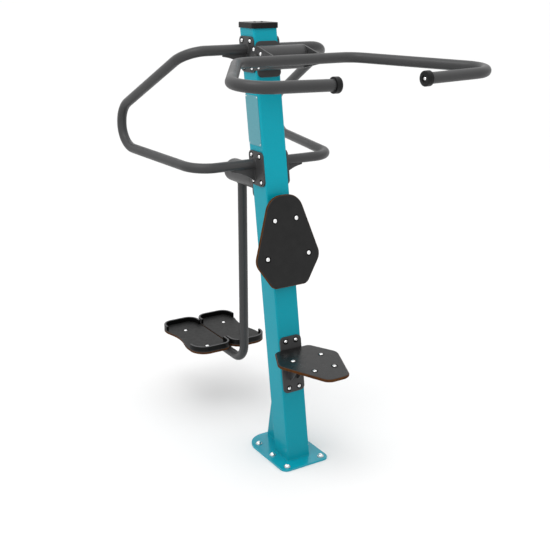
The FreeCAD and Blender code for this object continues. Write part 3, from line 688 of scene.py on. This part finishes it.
# Bolts, nuts and caps
def post_bolts():
    """Bolts through the post wall with the nuts inside it, and near-black rings of painted shade round their
    heads.
    """
    swing_s = (swing_z - base_t + half * math.sin(lean)) / math.cos(lean)
    sites = [(face, s, plate_bolt_x, plate_bolt_s) for face in ("left", "right") for s, u in loop_rows]
    sites.append(("rear", swing_s, plate_bolt_x, plate_bolt_s))
    sites.append(("front", seat_plate_s, seat_plate_bolt_x, seat_plate_bolt_s))
    spots = [(f, x * a, s + y * b, plate_t) for f, s, x, y in sites for a in (-1, 1) for b in (-1, 1)]
    spots += [("front", 0.0, s, spine_t) for s in spine_rows]
    nut = nut_mesh(nut_across, nut_h, nut_bore)
    shade_ring = collar(wall_head_r)
    plain_past_plate = 2.0
    parts = []
    rings = []
    for face, x, s, thick in spots:
        station = slanted(face, x, s)
        place, way = face_point(face, x, station, thick)
        inside = face_point(face, x, station, -post_wall)[0]
        length = thick + post_wall + nut_h
        plain_len = thick + plain_past_plate
        bolt = bolt_mesh(bolt_r, length, wall_head_r, wall_head_h, wall_socket, plain_len)
        parts.append((bolt, place, way))
        parts.append((nut, inside, way))
        # Near-black ring of painted shade round the head.
        rings.append((shade_ring, place, way))
    group("post_bolt_set", parts, bright, "frame", "bright_bolts", "post_bolts")
    group("post_bolt_shade_rings", rings, shade_ring_and_screw_black, "frame", "rim_plastic")


def board_fixings(name, body, sites):
    """Bolts and lock nuts of boards, with near-black rings of painted shade round the heads.

    A site is a point on the board, its outward direction and the thickness of the bar behind the board.
    """
    nut = nut_mesh(nut_across, nut_h, nut_bore)
    shade_ring = collar(board_head_r)
    past_nut = 2.0
    thread_in_bar = 1.0
    bolts = []
    nuts = []
    rings = []
    for place, way, bar_t in sites:
        clamped = board_t + bar_t
        length = clamped + nut_h + past_nut
        plain_len = clamped - thread_in_bar
        bolt = bolt_mesh(bolt_r, length, board_head_r, board_head_h, board_socket, plain_len)
        bolts.append((bolt, place, way))
        nuts.append((nut, place - Vector(way) * clamped, way))
        # Near-black ring of painted shade round the head.
        rings.append((shade_ring, place, way))
    group(f"{name}_bolt_set", bolts, bright, body, "bright_bolts", f"{name}_bolts")
    group(f"{name}_nut_set", nuts, zinc, body, "bright_bolts", f"{name}_nuts")
    group(f"{name}_bolt_shade_rings", rings, shade_ring_and_screw_black, body, "rim_plastic")


def board_bolts():
    """Fixings of the pad and the seat, and of the foot boards."""
    sites = []
    for x, s in pad_spots:
        for sign in (-1, 1):
            sites.append((*face_point("front", sign * x, s, pad_gap + board_t), pad_bar_t))
    for x, y in seat_spots:
        for sign in (-1, 1):
            sites.append((Vector((sign * x, seat_rear - y, seat_top)), UP, shelf_t))
    board_fixings("board", "frame", sites)
    sites = []
    for sign in (-1, 1):
        for row in foot_rows:
            sites.append((Vector((sign * foot_bolt_x, arm_y + row, foot_top)), UP, foot_bar_t))
    board_fixings("foot", "swing", sites)


def press_bolts():
    """Bolts of the press side plates."""
    bolt = bolt_mesh(small_bolt_r, small_bolt_len, small_head_r, small_head_h, small_socket, small_plain_len)
    parts = []
    for sign in (-1, 1):
        for k in range(flange_bolts):
            turn = math.radians(flange_turn + 360.0 / flange_bolts * k)
            spoke = Vector((0, math.sin(turn), math.cos(turn))) * flange_circle_r
            parts.append((bolt, hub + Vector((sign * plate_out, 0, 0)) + spoke, (sign, 0, 0)))
    group("press_bolt_set", parts, bright, "press_arm", "bright_bolts", "press_flange_bolts")


def grip_caps():
    """Moulded caps on the grips, each with a groove round it and a screw in a well."""
    well = 4.0
    well_r = 15.0
    edge = 1.2
    groove = 0.7
    groove_w = 1.0
    groove_low = -grip_cap_len / 2
    groove_high = groove_low + 2 * groove + groove_w
    groove_r = grip_cap_r - groove
    hole_r = small_bolt_r + 0.1
    head_r = 7.0
    head_h = 4.4
    rings = [(tube_r, -grip_cap_len), (grip_cap_r - edge, -grip_cap_len), (grip_cap_r, edge - grip_cap_len)]
    rings += [(grip_cap_r, groove_low), (groove_r, groove_low + groove)]
    rings += [(groove_r, groove_high - groove), (grip_cap_r, groove_high)]
    rings += [(grip_cap_r, -grip_cap_round), (grip_cap_r - edge, -edge), (grip_cap_r - grip_cap_round, 0.0)]
    rings += [(well_r, 0.0), (well_r - 0.8, -0.5), (well_r - 1.4, -well), (hole_r, -well)]
    rings += [(hole_r, -grip_cap_floor), (tube_r, -grip_cap_floor)]
    cap = turned(rings, segments=48, hollow=True)
    screw = bolt_mesh(small_bolt_r, small_bolt_len - well, head_r, head_h, small_socket, small_plain_len)
    caps = []
    screws = []
    for sign in (-1, 1):
        flip = Vector((sign, 1, 1))
        way = ((grip_end - grip_corner) * flip).normalized()
        caps.append((cap, grip_end * flip, way))
        screws.append((screw, grip_end * flip - way * well, way))
    group("grip_cap_set", caps, black_cap, "press_arm", "cap_plastic", "press_end_caps")
    group("grip_screw_set", screws, bright, "press_arm", "bright_bolts", "press_end_screws")


def anchor_washer():
    """Washer with rounded edges, closed in the middle, where the nut hides it."""
    r = 15.0
    bore = 6.5
    edge = 0.6
    rings = [(bore, 0.0), (r - edge / 2, 0.0), (r, 0.4), (r, washer_t - edge)]
    rings += [(r - edge, washer_t), (bore, washer_t)]
    return turned(rings, segments=32)


def anchor_nut():
    """Low cap nut: a short hexagon under a wide dome."""
    across = 22.0
    bore = 6.0
    skirt = 2.6
    dome_r = 11.2
    dome_h = 7.4
    flank = six_sided(across)
    bevel = six_sided(across, 0.94)
    face_r = across / math.sqrt(3) * 0.86
    rings = [(bore, 0.0), (face_r, 0.0), (bevel, 0.8), (flank, 1.4), (flank, skirt)]
    rings += [(bevel, skirt + 0.6), (dome_r + 0.2, skirt + 1.0)]
    rings += dome(dome_r, dome_h, inner=0.4, steps=8, base=skirt + 1.2)
    return turned(rings, segments=36)


def anchor_fixings():
    """Washers and cap nuts on the base plate."""
    washer = anchor_washer()
    nut = anchor_nut()
    spots = [(x, y) for x in (-anchor_x, anchor_x) for y in anchor_rows]
    washers = [(washer, Vector((x, y, base_t)), UP) for x, y in spots]
    nuts = [(nut, Vector((x, y, base_t + washer_t)), UP) for x, y in spots]
    group("anchor_washer_set", washers, zinc, "frame", "bright_bolts", "anchor_washers")
    group("anchor_nut_set", nuts, bright, "frame", "bright_bolts", "anchor_nuts")


def notice_rivets():
    """Rivets at the corners of the notice plate."""
    head_r = 3.5
    head_h = 1.35
    edge = 0.25
    rings = [(1.8, -notice_t), (2.0, 0.0), (head_r - 0.2, 0.0), (head_r, edge)]
    rings += dome(head_r, head_h, inner=1.2, steps=4, base=edge)
    rings += [(1.1, 1.0), (0.2, 0.9)]
    rivet = turned(rings, segments=20)
    parts = []
    for x in rivet_across:
        for y in rivet_along:
            place, way = face_point("left", x, slanted("left", x, notice_s + y), notice_t)
            parts.append((rivet, place, way))
    group("notice_rivet_set", parts, bright, "frame", "bright_bolts", "notice_rivets")


def cap_screws():
    """Black screws on the post cap."""
    half_spacing = 18.0
    r = 2.5
    head_r = 6.0
    head_h = 3.0
    socket = 3.0
    plain_len = 4.0
    screw = bolt_mesh(r, cap_t, head_r, head_h, socket, plain_len)
    top = post_point(0, 0, post_len) + Vector((0, 0, cap_t))
    parts = [(screw, top + Vector((x, 0, 0)), UP) for x in (-half_spacing, half_spacing)]
    group("cap_screw_set", parts, shade_ring_and_screw_black, "frame", "rim_plastic", "cap_screws")


# Welds
def base_welds():
    """Beads round the foot of the post and along the gusset."""
    deep = half / math.cos(lean)
    steps = 6
    foot = []
    for cx, cy, start in ((1, 1, 0), (-1, 1, 90), (-1, -1, 180), (1, -1, 270)):
        for k in range(steps + 1):
            angle = math.radians(start + 90 / steps * k)
            x = cx * (half - post_r) + post_r * math.cos(angle)
            y = cy * (deep - post_r) + post_r * math.sin(angle)
            foot.append(Vector((x, y, base_t)))
    parts = [bead(foot, closed=True)]
    corner_gap = 20.0
    end_gap = 2.0
    near = rear_plane_y(base_t, 0) + corner_gap
    low = base_t + corner_gap + end_gap
    for x in (-gusset_half, gusset_half):
        parts.append(bead([Vector((x, y, base_t)) for y in (near, gusset_rear - end_gap)]))
        parts.append(bead([Vector((x, rear_plane_y(z, 0), z)) for z in (low, gusset_top - end_gap)]))
    group("base_welds", parts, teal, "frame", "teal_coat")


def loop_welds():
    """Beads at the loops' tube ends and webs."""
    parts = []
    tip_gap = 6.0
    end_gap = 2.0
    seam_rise = 0.6
    for sign in (-1, 1):
        root = sign * (half + plate_t)
        tip = root + sign * (web_len - tip_gap)
        for s, u in loop_rows:
            middle = s + loop_rise
            top = middle - tube_r
            low = top - web_drop + end_gap
            parts.append(bead(circle(post_point(root, u, middle), ACROSS, tube_r), closed=True))
            for side in (u - web_t / 2, u + web_t / 2):
                parts.append(bead([post_point(root, side, z) for z in (low, top)], r=rib_bead_r))
                seam = [post_point(x, side, top + seam_rise) for x in (root, tip)]
                parts.append(bead(seam, r=seam_bead_r))
    group("loop_welds", parts, grey, "frame", "grey_coat")


def seat_welds():
    """Beads along the seat's ribs and shelf."""
    top = seat_top - board_t - shelf_t
    low = top - rib_drop
    rear = front_plane_y(top, plate_t)
    front = rear - rib_reach
    parts = [bead([Vector((x, rear, top)) for x in (-shelf_half, shelf_half)])]
    for x in wall_faces("seat_ribs", rib_t):
        parts.append(bead([Vector((x, front_plane_y(z, plate_t), z)) for z in (low, top)], r=rib_bead_r))
        parts.append(bead([Vector((x, y, top)) for y in (rear, front)], r=rib_bead_r))
    group("seat_welds", parts, grey, "frame", "grey_coat")


def press_welds():
    """Beads of the press cheeks on their plate, and of the side plates on the bar."""
    parts = []
    for x in wall_faces("press_cheeks", cheek_t):
        ends = [face_point("front", x, press_s + y, plate_t)[0] for y in (-cheek_half, cheek_half)]
        parts.append(bead(ends, r=cheek_bead_r))
    group("press_frame_welds", parts, grey, "frame", "grey_coat")
    parts = []
    to_hub = (hub - bar).normalized()
    arc = 144.0
    for x in (plate_in, plate_out):
        for sign in (-1, 1):
            centre = bar + Vector((sign * x, 0, 0))
            parts.append(bead(circle(centre, ACROSS, tube_r, start=-arc / 2, sweep=arc, first=to_hub)))
    group("press_arm_welds", parts, grey, "press_arm", "grey_coat")


def swing_welds():
    """Beads at the swing's stub, at the top of its arm and under the foot bars."""
    spots = []
    stub_steps = 64
    for k in range(stub_steps):
        angle = 2 * math.pi * k / stub_steps
        z = swing_z + swing_r * math.sin(angle)
        spots.append(Vector((swing_r * math.cos(angle), rear_plane_y(z, plate_t), z)))
    group("swing_stub_weld", [bead(spots, closed=True)], grey, "frame", "grey_coat")
    spots = []
    arm_steps = 48
    for k in range(arm_steps):
        angle = 2 * math.pi * k / arm_steps
        x = tube_r * math.cos(angle)
        y = arm_y + tube_r * math.sin(angle)
        spots.append(Vector((x, y, swing_z - math.sqrt(swing_r * swing_r - x * x))))
    parts = [bead(spots, closed=True)]
    weld_x = 8.0
    weld_half = 28.0
    weld_sink = 0.8
    level = foot_top - board_t - foot_bar_t - weld_sink
    for row in foot_rows:
        for x in (-weld_x, weld_x):
            parts.append(bead([Vector((x, arm_y + row + y, level)) for y in (-weld_half, weld_half)]))
    group("swing_welds", parts, grey, "swing", "grey_coat")


post_bolts()
board_bolts()
press_bolts()
grip_caps()
anchor_fixings()
notice_rivets()
cap_screws()
base_welds()
loop_welds()
seat_welds()
press_welds()
swing_welds()


# Floor, light and camera, in metres
def build_floor():
    """Plain pale floor."""
    mat, tree, shader, at = new_material("floor_pale")
    tone = ramp(tree, noise(tree, at, scale=0.6, detail=3.0), (0.3, 0.800), (0.7, 0.808))
    tree.links.new(tone, shader.inputs["Base Color"])
    shader.inputs["Roughness"].default_value = 0.85
    shader.inputs["Specular IOR Level"].default_value = 0.1
    mesh = bmesh.new()
    bmesh.ops.create_grid(mesh, x_segments=8, y_segments=8, size=400.0)
    data = bpy.data.meshes.new("floor")
    mesh.to_mesh(data)
    mesh.free()
    data.materials.append(mat)
    floor = bpy.data.objects.new("floor", data)
    scene.collection.objects.link(floor)


def build_sky():
    """White surroundings, brighter toward the upper left."""
    world = bpy.data.worlds.new("studio")
    world.use_nodes = True
    tree = world.node_tree
    sky = tree.nodes["Background"]
    sky.inputs["Color"].default_value = (1.0, 1.0, 1.0, 1.0)
    coords = tree.nodes.new("ShaderNodeTexCoord")
    brightest = Vector((-0.28, -0.06, 0.96)).normalized()
    toward = vector_node(tree, "DOT_PRODUCT", coords.outputs["Generated"], brightest)
    level = tree.nodes.new("ShaderNodeMapRange")
    level.inputs["From Min"].default_value = -0.4
    level.inputs["From Max"].default_value = 1.0
    level.inputs["To Min"].default_value = 0.64
    level.inputs["To Max"].default_value = 1.48
    tree.links.new(toward, level.inputs["Value"])
    tree.links.new(level.outputs["Result"], sky.inputs["Strength"])
    scene.world = world


def build_key_light():
    """Broad soft light from the upper left, aimed at the middle of the post."""
    data = bpy.data.lights.new("key", "AREA")
    data.size = 2.4
    data.energy = 50.0
    light = bpy.data.objects.new("key", data)
    light.location = (-1.6, -0.9, 5.4)
    target = Vector((0, 0.1, 1.0))
    light.rotation_euler = (target - light.location).to_track_quat("-Z", "Y").to_euler()
    scene.collection.objects.link(light)


def build_camera():
    """Camera that matches the photograph's view."""
    data = bpy.data.cameras.new("camera")
    data.sensor_width = 36.0
    data.lens = 59.67
    data.clip_end = 200.0
    camera = bpy.data.objects.new("camera", data)
    camera.location = (-2.10157, -3.25774, 2.17130)
    camera.rotation_euler = (math.radians(71.85), 0.0, math.radians(-31.62))
    scene.collection.objects.link(camera)
    scene.camera = camera


build_floor()
build_sky()
build_key_light()
build_camera()
scene.view_settings.view_transform = "Standard"
